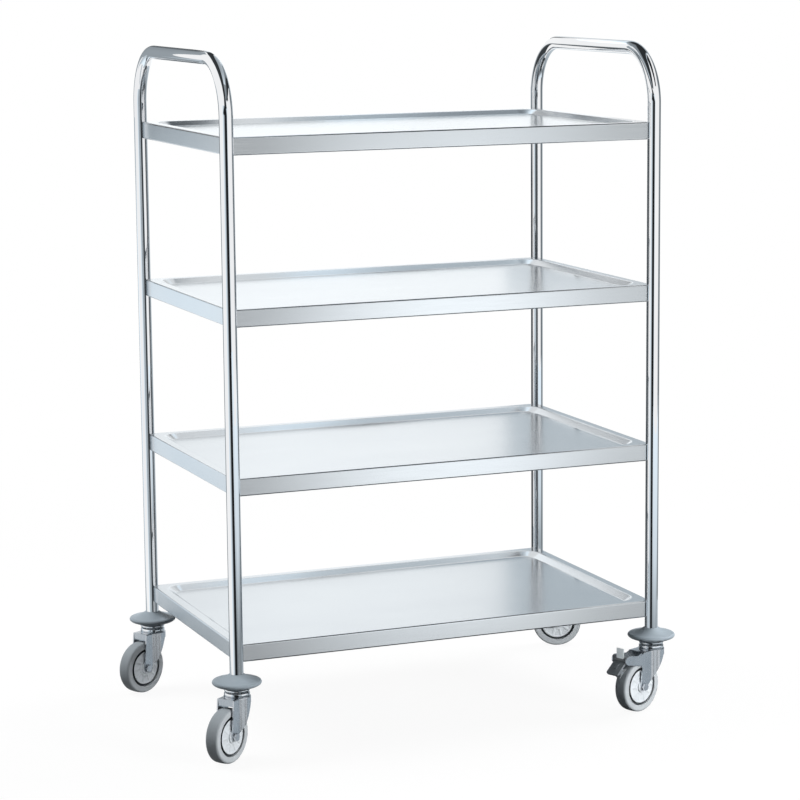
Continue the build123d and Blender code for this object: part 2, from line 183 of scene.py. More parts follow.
finishOfSlot = {
    "polished_tube": "polishedTube", "satin_sheet": "satinSheet", "fastener": "brightFastener",
    "bumper_rubber": "bumperRubber", "zinc_steel": "zincPlate", "bearing_steel": "raceSteel",
    "tyre_rubber": "tyreRubber", "hub_plastic": "hubPlastic", "pedal_plastic": "pedalPlastic",
    "release_plastic": "releasePlastic", "spring_steel": "springSteel",
}
for part in frame["record"]["subparts"]:
    for slot in nodes[part["node"]].material_slots:
        slot.material = finishes[finishOfSlot[part["material_slot"]]]
print("finishes:", len(finishes))


# mesh helpers

def spread(low, high, count):
    return [low + (high - low) * step / (count - 1) for step in range(count)]


def skinLoops(loops, wrap=False):
    count = len(loops[0])
    points = [point for loop in loops for point in loop]
    faces = []
    for row in range(len(loops) if wrap else len(loops) - 1):
        here, there = row * count, (row + 1) % len(loops) * count
        for step in range(count):
            after = (step + 1) % count
            faces.append((here + step, here + after, there + after, there + step))
    return points, faces


def lathe(profile, steps, place, lift=None):  # profile of (radius, height), closed, about the local Z
    loops = []
    for radius, height in profile:
        loop = []
        for angle in spread(0, math.tau, steps + 1)[:-1]:
            rise = lift(radius, height, angle) if lift else 0.0
            loop.append(place @ Vector((radius * math.cos(angle), radius * math.sin(angle), height + rise)))
        loops.append(loop)
    return skinLoops(loops, wrap=True)


def arc(centre, radii, start, end, count):  # angles in degrees, from the first axis
    turns = spread(math.radians(start), math.radians(end), count)
    return [(centre[0] + radii[0] * math.cos(turn), centre[1] + radii[1] * math.sin(turn)) for turn in turns]


sharpAngle = math.radians(35)  # steeper edges aren't smoothed


def makePiece(name, points, faces, slot, body, replaced=None):
    mesh = bpy.data.meshes.new(name)
    mesh.from_pydata(points, [], faces)
    shell = bmesh.new()
    shell.from_mesh(mesh)
    bmesh.ops.recalc_face_normals(shell, faces=shell.faces)
    shell.to_mesh(mesh)
    shell.free()
    mesh.polygons.foreach_set("use_smooth", [True] * len(mesh.polygons))
    mesh.set_sharp_from_angle(angle=sharpAngle)
    mesh.materials.append(finishes[finishOfSlot[slot]])
    piece = bpy.data.objects.new(name, mesh)
    bpy.context.scene.collection.objects.link(piece)
    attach(piece, body)
    if replaced:
        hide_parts(replaced)
    return piece


# sets the mask of points that get painted shade
def markPaintedShade(piece, values):
    piece.data.attributes.new("paintedShade", "FLOAT", "POINT").data.foreach_set("value", values)


def evenNormals(piece):  # keeps flat faces flat beside their rounded folds
    soften = piece.modifiers.new("evenNormals", "WEIGHTED_NORMAL")
    soften.keep_sharp = True


# end frames: one swept tube each, leg, push bar and leg

frameLook = {"bendRadius": 0.100, "wall": 0.0012, "around": 72, "bendSteps": 48, "legSteps": 24}
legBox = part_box("frame_right")
tubeRadius = (legBox[1].x - legBox[0].x) / 2
legPlace = Vector((legBox[1].x - tubeRadius, legBox[1].y - tubeRadius))


def makeFrame(side):
    low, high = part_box("frame_" + side)
    x = (low.x + high.x) / 2
    bend = frameLook["bendRadius"]
    barHeight = high.z - tubeRadius
    shoulder = barHeight - bend
    inner = legPlace.y - bend
    path = [(-legPlace.y, z, math.pi / 2) for z in spread(low.z, shoulder, frameLook["legSteps"])]
    for turn in spread(math.pi, math.pi / 2, frameLook["bendSteps"])[1:]:
        path.append((-inner + bend * math.cos(turn), shoulder + bend * math.sin(turn), turn - math.pi / 2))
    for turn in spread(math.pi / 2, 0, frameLook["bendSteps"]):
        path.append((inner + bend * math.cos(turn), shoulder + bend * math.sin(turn), turn - math.pi / 2))
    path += [(legPlace.y, z, -math.pi / 2) for z in spread(shoulder, low.z, frameLook["legSteps"])[1:]]

    def ring(station, radius):
        y, z, heading = station
        loop = []
        for angle in spread(0, math.tau, frameLook["around"] + 1)[:-1]:
            across, out = radius * math.cos(angle), radius * math.sin(angle)
            loop.append((x + across, y - out * math.sin(heading), z + out * math.cos(heading)))
        return loop

    loops = [ring(station, tubeRadius) for station in path]
    loops += [ring(station, tubeRadius - frameLook["wall"]) for station in reversed(path)]
    makePiece("endFrame_" + side, *skinLoops(loops, wrap=True), "polished_tube", "root", "frame_" + side)


for side in ("left", "right"):
    makeFrame(side)
print("end frames swept")


# trays: sunk deck, rounded slope, flat rim, folded skirt and hem, notched round the legs

trayLook = {"sheet": 0.001, "rim": 0.018, "slope": 0.0145, "sink": 0.009, "deckCorner": 0.022,
            "slopeRadius": 0.006, "foldRadius": 0.0030, "hemRadius": 0.0028, "hem": 0.011,
            "notchGap": 0.00015, "cornerSteps": 15, "slopeSteps": 6, "foldSteps": 7, "hemSteps": 5}


def trayProfile(skirt):  # inset from the outline and height over the rim, deck to hem and back inside
    look = trayLook
    lean = math.atan2(look["sink"], look["slope"])
    sheet, bend, fold, hemFold = look["sheet"], look["slopeRadius"], look["foldRadius"], look["hemRadius"]
    easing = bend * math.tan(lean / 2)
    foot, head = look["rim"] + look["slope"] + easing, look["rim"] - easing
    tilt, steps = math.degrees(lean), look["slopeSteps"]
    top = arc((foot, bend - look["sink"]), (bend, bend), 270, 270 - tilt, steps)
    top += arc((head, -bend), (bend, bend), 90 - tilt, 90, steps)
    fringe = arc((fold, -fold), (fold, fold), 90, 180, look["foldSteps"])
    fringe += arc((hemFold, hemFold - skirt), (hemFold, hemFold), 180, 270, look["hemSteps"])
    fringe += [(look["hem"], -skirt), (look["hem"], sheet - skirt), (hemFold + sheet, sheet - skirt),
               (sheet, sheet + hemFold - skirt), (sheet, -fold - sheet), (sheet + fold, -sheet)]
    under = arc((head, -bend), (bend - sheet, bend - sheet), 90, 90 - tilt, steps)
    under += arc((foot, bend - look["sink"]), (bend + sheet, bend + sheet), 270 - tilt, 270, steps)
    return top, fringe, under


def trayLoop(half, offsets, height):  # one outline from the offsets of its first corner
    loop = []
    for quarter, (sx, sy) in enumerate(((1, 1), (-1, 1), (-1, -1), (1, -1))):
        turn = Matrix.Rotation(quarter * math.pi / 2, 2)
        loop += [(*(Vector((sx * half.x, sy * half.y)) + turn @ offset), height) for offset in offsets]
    return loop


def makeTray(tier):
    low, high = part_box("shelf_" + tier)
    half = (high - low) / 2
    look = trayLook

    def roundLoop(inset, height):
        radius = look["deckCorner"] + look["rim"] + look["slope"] - inset
        middle = -Vector((inset + radius, inset + radius))
        turns = spread(0, math.pi / 2, look["cornerSteps"])
        offsets = [middle + radius * Vector((math.cos(turn), math.sin(turn))) for turn in turns]
        return trayLoop(half, offsets, high.z + height)

    def notchLoop(inset, height):
        radius = tubeRadius + look["notchGap"] + inset
        lean = math.asin(inset / radius)
        turns = spread(1.5 * math.pi - lean, math.pi + lean, look["cornerSteps"])
        offsets = [radius * Vector((math.cos(turn), math.sin(turn))) for turn in turns]
        return trayLoop(half, offsets, high.z + height)

    top, fringe, under = trayProfile(high.z - low.z)
    loops = [roundLoop(*point) for point in top] + [notchLoop(*point) for point in fringe]
    loops += [roundLoop(*point) for point in under]
    points, faces = skinLoops(loops)
    count = len(loops[0])
    faces += [tuple(range(count)), tuple(range(len(points) - count, len(points)))]
    evenNormals(makePiece("tray_" + tier, points, faces, "satin_sheet", "root", "shelf_" + tier))


shelfNames = [name[len("shelf_"):] for name in nodes if name.startswith("shelf_")]
trayTiers = [name for name in shelfNames if "stiffeners_" + name in nodes]  # not the shelves' fixings
for tier in trayTiers:
    makeTray(tier)
print("trays folded:", len(trayTiers))


# disc bumpers over the casters

bumperLook = {"foot": 0.024, "neck": 0.0222, "neckHeight": 0.0028, "widest": 0.0105, "shoulder": 0.0042,
              "edge": 0.005, "flare": 0.0018, "lip": 0.0008, "floor": 0.010, "socketGap": 0.0001,
              "stemHole": 0.00625, "around": 96, "underSteps": 16, "edgeSteps": 10, "domeSteps": 20}


def circleThrough(first, second, third):
    (ax, ay), (bx, by), (cx, cy) = first, second, third
    twist = 2 * (ax * (by - cy) + bx * (cy - ay) + cx * (ay - by))
    a, b, c = ax * ax + ay * ay, bx * bx + by * by, cx * cx + cy * cy
    centre = ((a * (by - cy) + b * (cy - ay) + c * (ay - by)) / twist,
              (a * (cx - bx) + b * (ax - cx) + c * (bx - ax)) / twist)
    return centre, math.dist(centre, first)


def makeBumper(place):
    low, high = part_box("bumper_" + place)
    look = bumperLook
    rim, height = (high.x - low.x) / 2, high.z - low.z
    socket = tubeRadius + look["socketGap"]
    collar = socket + look["lip"]
    shoulder = (rim - look["edge"], look["widest"] + look["shoulder"])
    middle = ((collar + shoulder[0]) / 2, (height + shoulder[1]) / 2 - look["flare"])
    centre, radius = circleThrough(shoulder, middle, (collar, height))
    ends = (shoulder, (collar, height))
    domeStart, domeEnd = (math.degrees(math.atan2(y - centre[1], x - centre[0])) % 360 for x, y in ends)
    underside = (rim - look["foot"], look["widest"] - look["neckHeight"])
    profile = [(look["neck"], 0), (look["neck"], look["neckHeight"])]
    profile += arc((look["foot"], look["widest"]), underside, -90, 0, look["underSteps"])
    roundings = (look["edge"], look["shoulder"])
    profile += arc((shoulder[0], look["widest"]), roundings, 0, 90, look["edgeSteps"])[1:]
    profile += arc(centre, (radius, radius), domeStart, domeEnd, look["domeSteps"])[1:]
    profile += [(socket, height), (socket, look["floor"])]
    profile += [(look["stemHole"], look["floor"]), (look["stemHole"], 0)]
    spot = Matrix.Translation(((low.x + high.x) / 2, (low.y + high.y) / 2, low.z))
    points, faces = lathe(profile, look["around"], spot)
    evenNormals(makePiece("bumperDisc_" + place, points, faces, "bumper_rubber", "root", "bumper_" + place))


for place in casterPlaces:
    makeBumper(place)
print("bumpers turned")


# bright rings of the swivel races, the upper one on the leg and the lower one on the fork

raceLook = {"core": 0.0204, "bulge": 0.0236, "inside": 0.0200, "upperHeight": 0.0055, "gap": 0.0015,
            "lowerHeight": 0.0070, "upperRound": 0.00305, "lowerRound": (0.0053, 0.0045),
            "lowerBelly": 0.0032, "trim": 0.00005, "around": 96, "bulgeSteps": 8}


def raceRing(place, side, middle, below, above, rounds, body):  # below and above are measured from the belly
    low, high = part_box("bumper_" + place)
    look = raceLook
    swell = look["bulge"] - look["core"]
    start, end = -math.degrees(math.asin(below / rounds[0])), math.degrees(math.asin(above / rounds[1]))
    profile = arc((look["core"], middle), (swell, rounds[0]), start, 0, look["bulgeSteps"])
    profile += arc((look["core"], middle), (swell, rounds[1]), 0, end, look["bulgeSteps"])[1:]
    profile += [(look["inside"], middle + above), (look["inside"], middle - below)]
    spot = Matrix.Translation(((low.x + high.x) / 2, (low.y + high.y) / 2, low.z))
    points, faces = lathe(profile, look["around"], spot)
    makePiece("raceRing" + side + "_" + place, points, faces, "bearing_steel", body)


def makeRaces(place):  # heights are below the bumper's seat
    look = raceLook
    half = look["upperHeight"] / 2
    reach = half - look["trim"]
    raceRing(place, "Upper", -half, reach, reach, (look["upperRound"], look["upperRound"]), "root")
    belly = -look["upperHeight"] - look["gap"] - look["lowerHeight"] + look["lowerBelly"]
    above = look["lowerHeight"] - look["lowerBelly"] - look["trim"]
    raceRing(place, "Lower", belly, look["lowerBelly"], above, look["lowerRound"], "caster_" + place)


for place in casterPlaces:
    makeRaces(place)
print("races turned")


# wheels: solid tyre and ribbed hub on each axle

tyreLook = {"bore": 0.03705, "halfWidth": 0.013, "shoulder": 0.0045, "crown": 0.0004, "bead": 0.0008,
            "around": 144, "beadSteps": 4, "shoulderSteps": 14, "shoulderEnd": 5, "treadShare": 0.85,
            "treadSteps": 6}  # the shoulder ends at an angle in degrees
hubLook = {"rim": 0.037, "rimHalf": 0.008, "face": 0.0324, "faceHalf": 0.0125, "boss": 0.012,
           "bossHalf": 0.0155, "bore": 0.00606, "edge": 0.0012, "ribs": 10, "ribHalf": 0.0012,
           "ribEase": 0.0016, "pocketStart": 0.0148, "pocketEnd": 0.0300, "pocketDepth": 0.0010,
           "pocketEase": 0.0022, "around": 240, "edgeSteps": 5, "easeSteps": 5, "pocketSteps": 9}
sameFace = 1e-6  # heights that differ by less lie on one face of the hub


def axleFrame(place):  # local Z along the axle
    spin = joints["spin_" + place]
    axle = Vector(spin["axis"])
    trail = axle.cross(Vector((0, 0, 1)))
    turn = Matrix((trail, axle.cross(trail), axle)).transposed().to_4x4()
    return Matrix.Translation(spin["pos_m"]) @ turn


def bothSides(profile):  # mirrors a half profile that ends at the wheel's middle plane
    return profile + [(radius, -height) for radius, height in reversed(profile) if height > 0]


def easeStep(low, high, value):
    share = min(max((value - low) / (high - low), 0.0), 1.0)
    return share * share * (3 - 2 * share)


def makeTyre(place):
    low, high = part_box("tyre_" + place)
    look = tyreLook
    outer, half, bead, shoulder = (high.z - low.z) / 2, look["halfWidth"], look["bead"], look["shoulder"]
    tread = half - shoulder
    profile = arc((look["bore"] + bead, half - bead), (bead, bead), 180, 90, look["beadSteps"])
    middle = (outer - shoulder - look["crown"], tread)
    profile += arc(middle, (shoulder, shoulder), 90, look["shoulderEnd"], look["shoulderSteps"])
    heights = spread(tread * look["treadShare"], 0, look["treadSteps"])
    profile += [(outer - look["crown"] * (z / tread) ** 2, z) for z in heights]
    profile = bothSides(profile)
    points, faces = lathe(profile, look["around"], axleFrame(place))
    tyre = makePiece("wheelTyre_" + place, points, faces, "tyre_rubber", "wheel_" + place, "tyre_" + place)
    # painted shade: the tread is coloured darker, easing in across the shoulder
    treadShade = [easeStep(outer - shoulder, outer - look["crown"], radius) for radius, height in profile]
    markPaintedShade(tyre, [mark for mark in treadShade for step in range(look["around"])])
    evenNormals(tyre)


def makeHub(place):
    look = hubLook
    edge, face, faceHalf, ease = look["edge"], look["face"], look["faceHalf"], look["pocketEase"]
    start, end = look["pocketStart"], look["pocketEnd"]
    edgeSteps, easeSteps = look["edgeSteps"], look["easeSteps"]

    def pocketLift(radius, height, angle):  # sinks the face between the ribs
        if abs(abs(height) - faceHalf) > sameFace:
            return 0.0
        pitch = math.tau / look["ribs"]
        away = abs((angle + pitch / 2) % pitch - pitch / 2) * radius
        sunk = easeStep(start, start + ease, radius) * (1 - easeStep(end - ease, end, radius))
        sunk *= easeStep(look["ribHalf"], look["ribHalf"] + look["ribEase"], away)
        return -math.copysign(look["pocketDepth"] * sunk, height)

    profile = [(look["bore"], look["bossHalf"] - edge / 2), (look["bore"] + edge / 2, look["bossHalf"])]
    profile += arc((look["boss"] - edge, look["bossHalf"] - edge), (edge, edge), 90, 0, edgeSteps)
    profile += [(look["boss"], faceHalf + edge / 2), (look["boss"] + edge / 2, faceHalf)]
    profile += [(radius, faceHalf) for radius in spread(start, start + ease, easeSteps)]
    profile += [(radius, faceHalf) for radius in spread(start + ease, end - ease, look["pocketSteps"])[1:-1]]
    profile += [(radius, faceHalf) for radius in spread(end - ease, end, easeSteps)]
    profile += arc((face - edge, faceHalf - edge), (edge, edge), 90, 0, edgeSteps)
    profile += [(face, look["rimHalf"]), (look["rim"], look["rimHalf"]), (look["rim"], 0)]
    profile = bothSides(profile)
    points, faces = lathe(profile, look["around"], axleFrame(place), pocketLift)
    hub = makePiece("wheelHub_" + place, points, faces, "hub_plastic", "wheel_" + place, "hub_" + place)
    reach, depth = face - edge / 2, faceHalf - edge / 2
    # painted shade: the groove's walls and floor are coloured near black
    groove = [float(radius > reach and abs(height) < depth) for radius, height in profile]
    markPaintedShade(hub, [mark for mark in groove for step in range(look["around"])])


for place in casterPlaces:
    makeTyre(place)
    makeHub(place)
print("wheels moulded:", len(casterPlaces))


# studio: floor, white surroundings, soft lamps and the cards that the metal mirrors

floorLook = {"size": 60.0, "seen": 0.85, "bounce": 0.12, "glowNear": 0.93, "glowFar": 1.0,
             "fadeStart": 0.6, "fadeEnd": 2.4, "rough": 0.9}
worldLook = {"backdrop": (1.0, 1.0, 1.0), "dome": (0.10, 0.103, 0.108)}
lamps = {
    "keyLamp": {"place": (1.6, -3.0, 1.05), "size": (1.2, 1.2), "power": 104.0},
    "leftLamp": {"place": (-2.2, 1.0, 2.8), "size": (2.0, 2.0), "power": 105.0},
    "rightLamp": {"place": (2.4, 0.5, 2.8), "size": (2.0, 2.0), "power": 105.0},
}
lampAim = Vector((0, 0, 0.55))
cardTint = (0.89, 1.0, 1.08)  # grey cards are a little cool
panelTint = (0.975, 1.0, 1.012)  # and the panels that light the trays less so
mirroredTwice = 1.5  # glossy bounces beyond which satin metal sees the tubes' cards too
gapWall = {  # dark gap between the soft boxes, behind the camera, on a heading in radians from the Y axis
    "heading": 3.588, "left": 5.5, "right": 2.4,
    "shades": ((0.0, 1.0), (0.15, 0.9), (0.40, 0.5), (0.48, 0.3), (0.50, 0.02), (0.9, 0.01), (0.93, 0.6),
               (1.0, 1.0)),
    "path": (  # reach, height, drift to the left and widening of each row
        (5.3, -2.6, 0.0, 1.0), (5.3, 1.2, 0.0, 1.0), (1.87, 1.6, -0.03, 0.30)),
}
flatCards = {  # level cards: left and right points on the floor plan and haze of each row
    "leftBatten": {"height": 1.6, "shades": ((0.0, 0.6), (0.06, 0.05), (0.9, 0.03), (1.0, 0.5)),
                   "rows": (((-1.30, -1.45), (-0.40, -1.95), 0.0), ((-0.80, -0.85), (-0.41, -0.85), 0.0),
                            ((-0.66, -0.5), (-0.37, -0.5), 0.0), ((-0.63, -0.24), (-0.35, -0.24), 0.0),
                            ((-0.60, 0.0), (-0.32, 0.0), 0.0), ((-0.50, 0.25), (-0.20, 0.25), 0.0),
                            ((-0.40, 0.4), (-0.09, 0.4), 0.0), ((-0.39, 0.6), (-0.10, 0.6), 0.4),
                            ((-0.38, 0.75), (-0.11, 0.75), 1.0))},
    "leftWing": {"height": 1.605, "shades": ((0.0, 0.38), (1.0, 0.55)),  # outer side of the front left bend
                 "rows": (((-0.38, -0.5), (-0.20, -0.5), 0.7), ((-0.36, -0.24), (-0.08, -0.24), 0.0),
                          ((-0.33, 0.0), (-0.02, 0.0), 0.0), ((-0.21, 0.25), (0.0, 0.25), 0.3))},
    "rightBatten": {"height": 1.61,
                    "shades": ((0.0, 0.9), (0.06, 0.3), (0.4, 0.25), (0.5, 0.03), (0.94, 0.03), (1.0, 0.9)),
                    "rows": (((-0.50, -1.0), (-0.10, -1.2), 0.0), ((-0.35, -0.30), (0.30, -0.50), 0.0),
                             ((-0.15, 0.0), (0.42, -0.28), 0.0), ((0.0, 0.10), (0.90, 0.05), 0.0),
                             ((0.10, 0.30), (0.85, 0.30), 0.0), ((0.0, 0.44), (0.80, 0.44), 0.3),
                             ((0.30, 0.51), (0.95, 0.51), 0.68), ((0.42, 0.55), (1.05, 0.55), 0.88),
                             ((0.45, 0.65), (1.05, 0.65), 1.0))},
    "canopy": {"height": 2.9,  # for the front folds
               "shades": ((0.0, 0.2), (0.1, 0.03), (0.95, 0.03), (1.0, 0.3)),
               "rows": (((1.0, -3.4), (2.0, -3.4), 0.0), ((0.45, -1.3), (1.45, -1.3), 0.0),
                        ((0.35, 0.2), (1.45, 0.2), 0.0))},
    "slopeCard": {"height": 1.61,  # right slope of the top tray
                  "shades": ((0.0, 0.2), (0.1, 0.03), (0.9, 0.03), (1.0, 0.2)),
                  "rows": (((0.48, 0.88), (0.66, 0.88), 0.3), ((0.48, 0.94), (0.66, 0.94), 0.0),
                           ((0.48, 1.33), (0.66, 1.33), 0.0))},
    "slopeGlow": {"height": 1.62, "shades": ((0.0, 1.45), (1.0, 1.45)),  # back slopes of the lower trays
                  "rows": (((0.18, 0.48), (0.42, 0.48), 0.0), ((0.18, 0.80), (0.42, 0.80), 0.0))},
    "underCard": {"height": -0.5, "shades": ((0.0, 0.03), (1.0, 0.03)),  # for the hems
                  "rows": (((-0.6, -2.2), (1.15, -2.2), 0.0), ((-0.6, 0.5), (1.15, 0.5), 0.0))},
}
rightSide = {"start": (0.97, 1.63), "end": (2.3, -1.05),
             "shades": ((0.0, 0.62), (0.2, 0.53), (0.33, 0.46), (0.58, 0.12), (1.0, 0.4))}
# upright cards: ends on the floor plan, shades from end to end, and height, haze and gain of each row
# those seen by tubes or by trays are clear to the other metal
wallCards = {
    "sideCard": {"start": (-0.728, 0.54), "end": (-0.572, 0.763), "shades": ((0.0, 1.0), (1.0, 0.95)),
                 "rows": ((-0.6, 0.0, 0.5), (-0.01, 0.0, 0.43), (0.15, 0.0, 0.8), (0.34, 0.0, 0.97),
                          (0.70, 0.0, 1.12), (0.88, 0.0, 0.98), (1.0, 0.0, 0.66), (1.1, 0.0, 0.57))},
    "edgeCard": {"seenBy": "tubes", "start": (-0.572, 0.763), "end": (-0.30, 1.15),
                 "shades": ((0.0, 0.08), (1.0, 0.08)),
                 "rows": ((-1.6, 0.0, 1.0), (0.86, 0.0, 1.0), (0.9, 0.3, 1.0), (1.1, 0.3, 1.0))},
    "barCard": {"seenBy": "tubes", "start": (-0.625, 0.62), "end": (-0.30, 1.15),
                "shades": ((0.0, 0.38), (0.5, 0.32), (1.0, 0.38)),
                "rows": ((1.1, 0.0, 1.0), (1.8, 0.0, 1.0))},
    "topEdgeCard": {"seenBy": "tubes", "start": (-0.39, 0.6), "end": (-0.19, 0.6),
                    "shades": ((0.0, 0.2), (1.0, 0.08)),
                    "rows": ((1.24, 0.0, 1.0), (1.5, 0.0, 1.0))},
    "innerCard": {"seenBy": "tubes", "start": (-0.46, 0.46), "end": (-0.10, 1.40),
                  "shades": ((0.0, 0.05), (1.0, 0.05)),
                  "rows": ((-1.6, 0.0, 1.0), (0.9, 0.0, 1.0), (1.1, 0.3, 1.0))},
    "backLegCard": {"seenBy": "tubes", "start": (-0.60, 0.0), "end": (-0.37, 0.0),
                    "shades": ((0.0, 0.7), (0.30, 0.4), (0.48, 0.04), (0.88, 0.04), (1.0, 0.7)),
                    "rows": ((-0.3, 0.0, 1.0), (1.16, 0.0, 1.0), (1.2, 0.5, 1.0))},
    "legCard": {"seenBy": "tubes", "start": (0.15, -0.16), "end": (0.40, 0.03),
                "shades": ((0.0, 0.1), (1.0, 0.1)),
                "rows": ((-0.3, 0.0, 1.0), (1.1, 0.0, 1.0))},
    "lowCard": {"seenBy": "tubes", "start": (0.12, -1.48), "end": (1.9, -0.3),
                "shades": ((0.0, 0.28), (1.0, 0.28)),
                "rows": ((-0.8, 0.0, 1.0), (-0.15, 0.0, 1.0), (-0.05, 0.26, 1.0), (0.02, 0.5, 1.0),
                         (0.09, 0.71, 1.0), (0.38, 1.0, 1.0))},
    "lowCardNear": {"seenBy": "tubes", "start": (-0.445, -0.62), "end": (-0.27, -0.62),
                    "shades": ((0.0, 0.2), (1.0, 0.26)),
                    "rows": ((-0.2, 0.0, 1.0), (0.1, 0.0, 1.0), (0.2, 0.25, 1.0), (0.3, 0.55, 1.0),
                             (0.38, 0.75, 1.0), (0.69, 1.0, 1.0))},
    "foldCard": {"seenBy": "trays", "start": (-1.25, 1.9), "end": (-0.65, 1.9),
                 "shades": ((0.0, 0.05), (1.0, 0.05)),
                 "rows": ((0.9, 0.0, 1.0), (2.2, 0.0, 1.0))},
    "rightCard": {**rightSide, "rows": ((-1.6, 0.0, 1.0), (1.11, 0.0, 1.0))},
    "rightCardTop": {**rightSide, "seenBy": "tubes", "rows": ((1.11, 0.0, 1.0), (2.2, 0.0, 1.0))},
    "casterCard": {"start": (1.45, 0.9), "end": (2.0, -1.35), "rows": ((-1.0, 0.0, 1.0), (-0.1, 0.0, 1.0)),
                   "shades": ((0.0, 0.6), (0.45, 0.62), (0.6, 0.6), (0.85, 0.48), (1.0, 0.48))},
    "casterCardLeft": {"start": (-1.5, -0.8), "end": (-1.5, 1.3), "shades": ((0.0, 0.55), (1.0, 0.55)),
                       "rows": ((-0.7, 0.0, 1.0), (-0.16, 0.0, 1.0))},
    "backPanel": {"start": (0.1, 2.7), "end": (1.7, 2.5), "tint": panelTint,
                  "shades": ((0.0, 0.66), (0.35, 0.87), (0.6, 0.85), (1.0, 0.70)),
                  "rows": ((0.0, 0.2, 1.25), (0.8, 0.2, 1.25), (1.0, 0.05, 1.25), (1.16, 0.35, 1.25),
                           (1.28, 1.0, 1.38), (1.7, 1.0, 1.38))},
    "frontPanel": {"seenBy": "trays", "start": (-0.1, -1.5), "end": (1.3, -1.5), "tint": panelTint,
                   "shades": ((0.0, 0.22), (0.09, 0.31), (0.28, 0.87), (0.45, 1.0), (0.61, 0.95),
                              (0.73, 0.56), (1.0, 0.42)),
                   "rows": ((-0.5, 0.3, 0.75), (-0.13, 0.0, 1.08), (0.26, 0.0, 1.52), (0.64, 0.0, 1.51),
                            (1.02, 0.0, 1.09), (1.15, 0.1, 1.05), (1.35, 1.0, 1.0))},
}


def addSheet(name, rows, material, hazes=None, gains=None):  # rows of left and right points
    points = [point for row in rows for point in row]
    faces = [(2 * row, 2 * row + 1, 2 * row + 3, 2 * row + 2) for row in range(len(rows) - 1)]
    mesh = bpy.data.meshes.new(name)
    mesh.from_pydata(points, [], faces)
    marks = {"across": [0.0, 1.0] * len(rows),
             "haze": [value for value in hazes or [0.0] * len(rows) for side in range(2)],
             "gain": [value for value in gains or [1.0] * len(rows) for side in range(2)]}
    for mark, values in marks.items():
        mesh.attributes.new(mark, "FLOAT", "POINT").data.foreach_set("value", values)
    mesh.materials.append(material)
    sheet = bpy.data.objects.new(name, mesh)
    bpy.context.scene.collection.objects.link(sheet)
    return sheet


def cardFinish(name, shades, tint=cardTint, seenBy="all"):
    material, tree, shader = startFinish(name)
    tree.nodes.remove(shader)
    marks = ("across", "haze", "gain")
    across, haze, gain = (addNode(tree, "ShaderNodeAttribute", attribute_name=mark) for mark in marks)
    ramp = addNode(tree, "ShaderNodeValToRGB")
    setStops(ramp, [(position, (shade, shade, shade)) for position, shade in shades])
    veil = addNode(tree, "ShaderNodeMix", {"B": 1.0})
    level = addNode(tree, "ShaderNodeMath", operation="MULTIPLY")
    light = addNode(tree, "ShaderNodeEmission", {"Color": (*tint, 1.0)})
    tree.links.new(across.outputs["Fac"], ramp.inputs["Fac"])
    tree.links.new(haze.outputs["Fac"], veil.inputs["Factor"])
    tree.links.new(ramp.outputs["Color"], veil.inputs["A"])
    tree.links.new(veil.outputs["Result"], level.inputs[0])
    tree.links.new(gain.outputs["Fac"], level.inputs[1])
    tree.links.new(level.outputs["Value"], light.inputs["Strength"])
    surface = light.outputs["Emission"]
    if seenBy != "all":  # mirror-bright tubes send on singular rays, satin trays don't
        path = addNode(tree, "ShaderNodeLightPath")
        clear = addNode(tree, "ShaderNodeBsdfTransparent")
        mix = addNode(tree, "ShaderNodeMixShader")
        later = addNode(tree, "ShaderNodeMath", {1: mirroredTwice}, operation="GREATER_THAN")
        seen = addNode(tree, "ShaderNodeMath", operation="MAXIMUM")
        tree.links.new(path.outputs["Glossy Depth"], later.inputs[0])
        tree.links.new(path.outputs["Is Singular Ray"], seen.inputs[0])
        tree.links.new(later.outputs["Value"], seen.inputs[1])
        tree.links.new(seen.outputs["Value"], mix.inputs["Fac"])
        clearInput, cardInput = (1, 2) if seenBy == "tubes" else (2, 1)
        tree.links.new(clear.outputs["BSDF"], mix.inputs[clearInput])
        tree.links.new(surface, mix.inputs[cardInput])
        surface = mix.outputs["Shader"]
    tree.links.new(surface, tree.nodes["Material Output"].inputs["Surface"])
    return material


def onlyMirrored(sheet):
    sheet.visible_camera = False
    sheet.visible_diffuse = False
    sheet.visible_transmission = False
    sheet.visible_shadow = False


def makeCards():
    ahead = Vector((math.sin(gapWall["heading"]), math.cos(gapWall["heading"]), 0))
    side = ahead.cross(Vector((0, 0, 1)))  # the camera's left
    rows = []
    for reach, height, drift, widening in gapWall["path"]:
        middle = ahead * reach + side * drift + Vector((0, 0, height))
        rows.append((middle + side * gapWall["left"] * widening, middle - side * gapWall["right"] * widening))
    onlyMirrored(addSheet("gapWall", rows, cardFinish("gapWall", gapWall["shades"], seenBy="tubes")))
    for name, look in flatCards.items():
        lefts, rights, hazes = zip(*look["rows"])
        rows = [((*left, look["height"]), (*right, look["height"])) for left, right in zip(lefts, rights)]
        onlyMirrored(addSheet(name, rows, cardFinish(name, look["shades"]), hazes))
    for name, look in wallCards.items():
        heights, hazes, gains = zip(*look["rows"])
        rows = [((*look["start"], height), (*look["end"], height)) for height in heights]
        material = cardFinish(name, look["shades"], look.get("tint", cardTint), look.get("seenBy", "all"))
        onlyMirrored(addSheet(name, rows, material, hazes, gains))


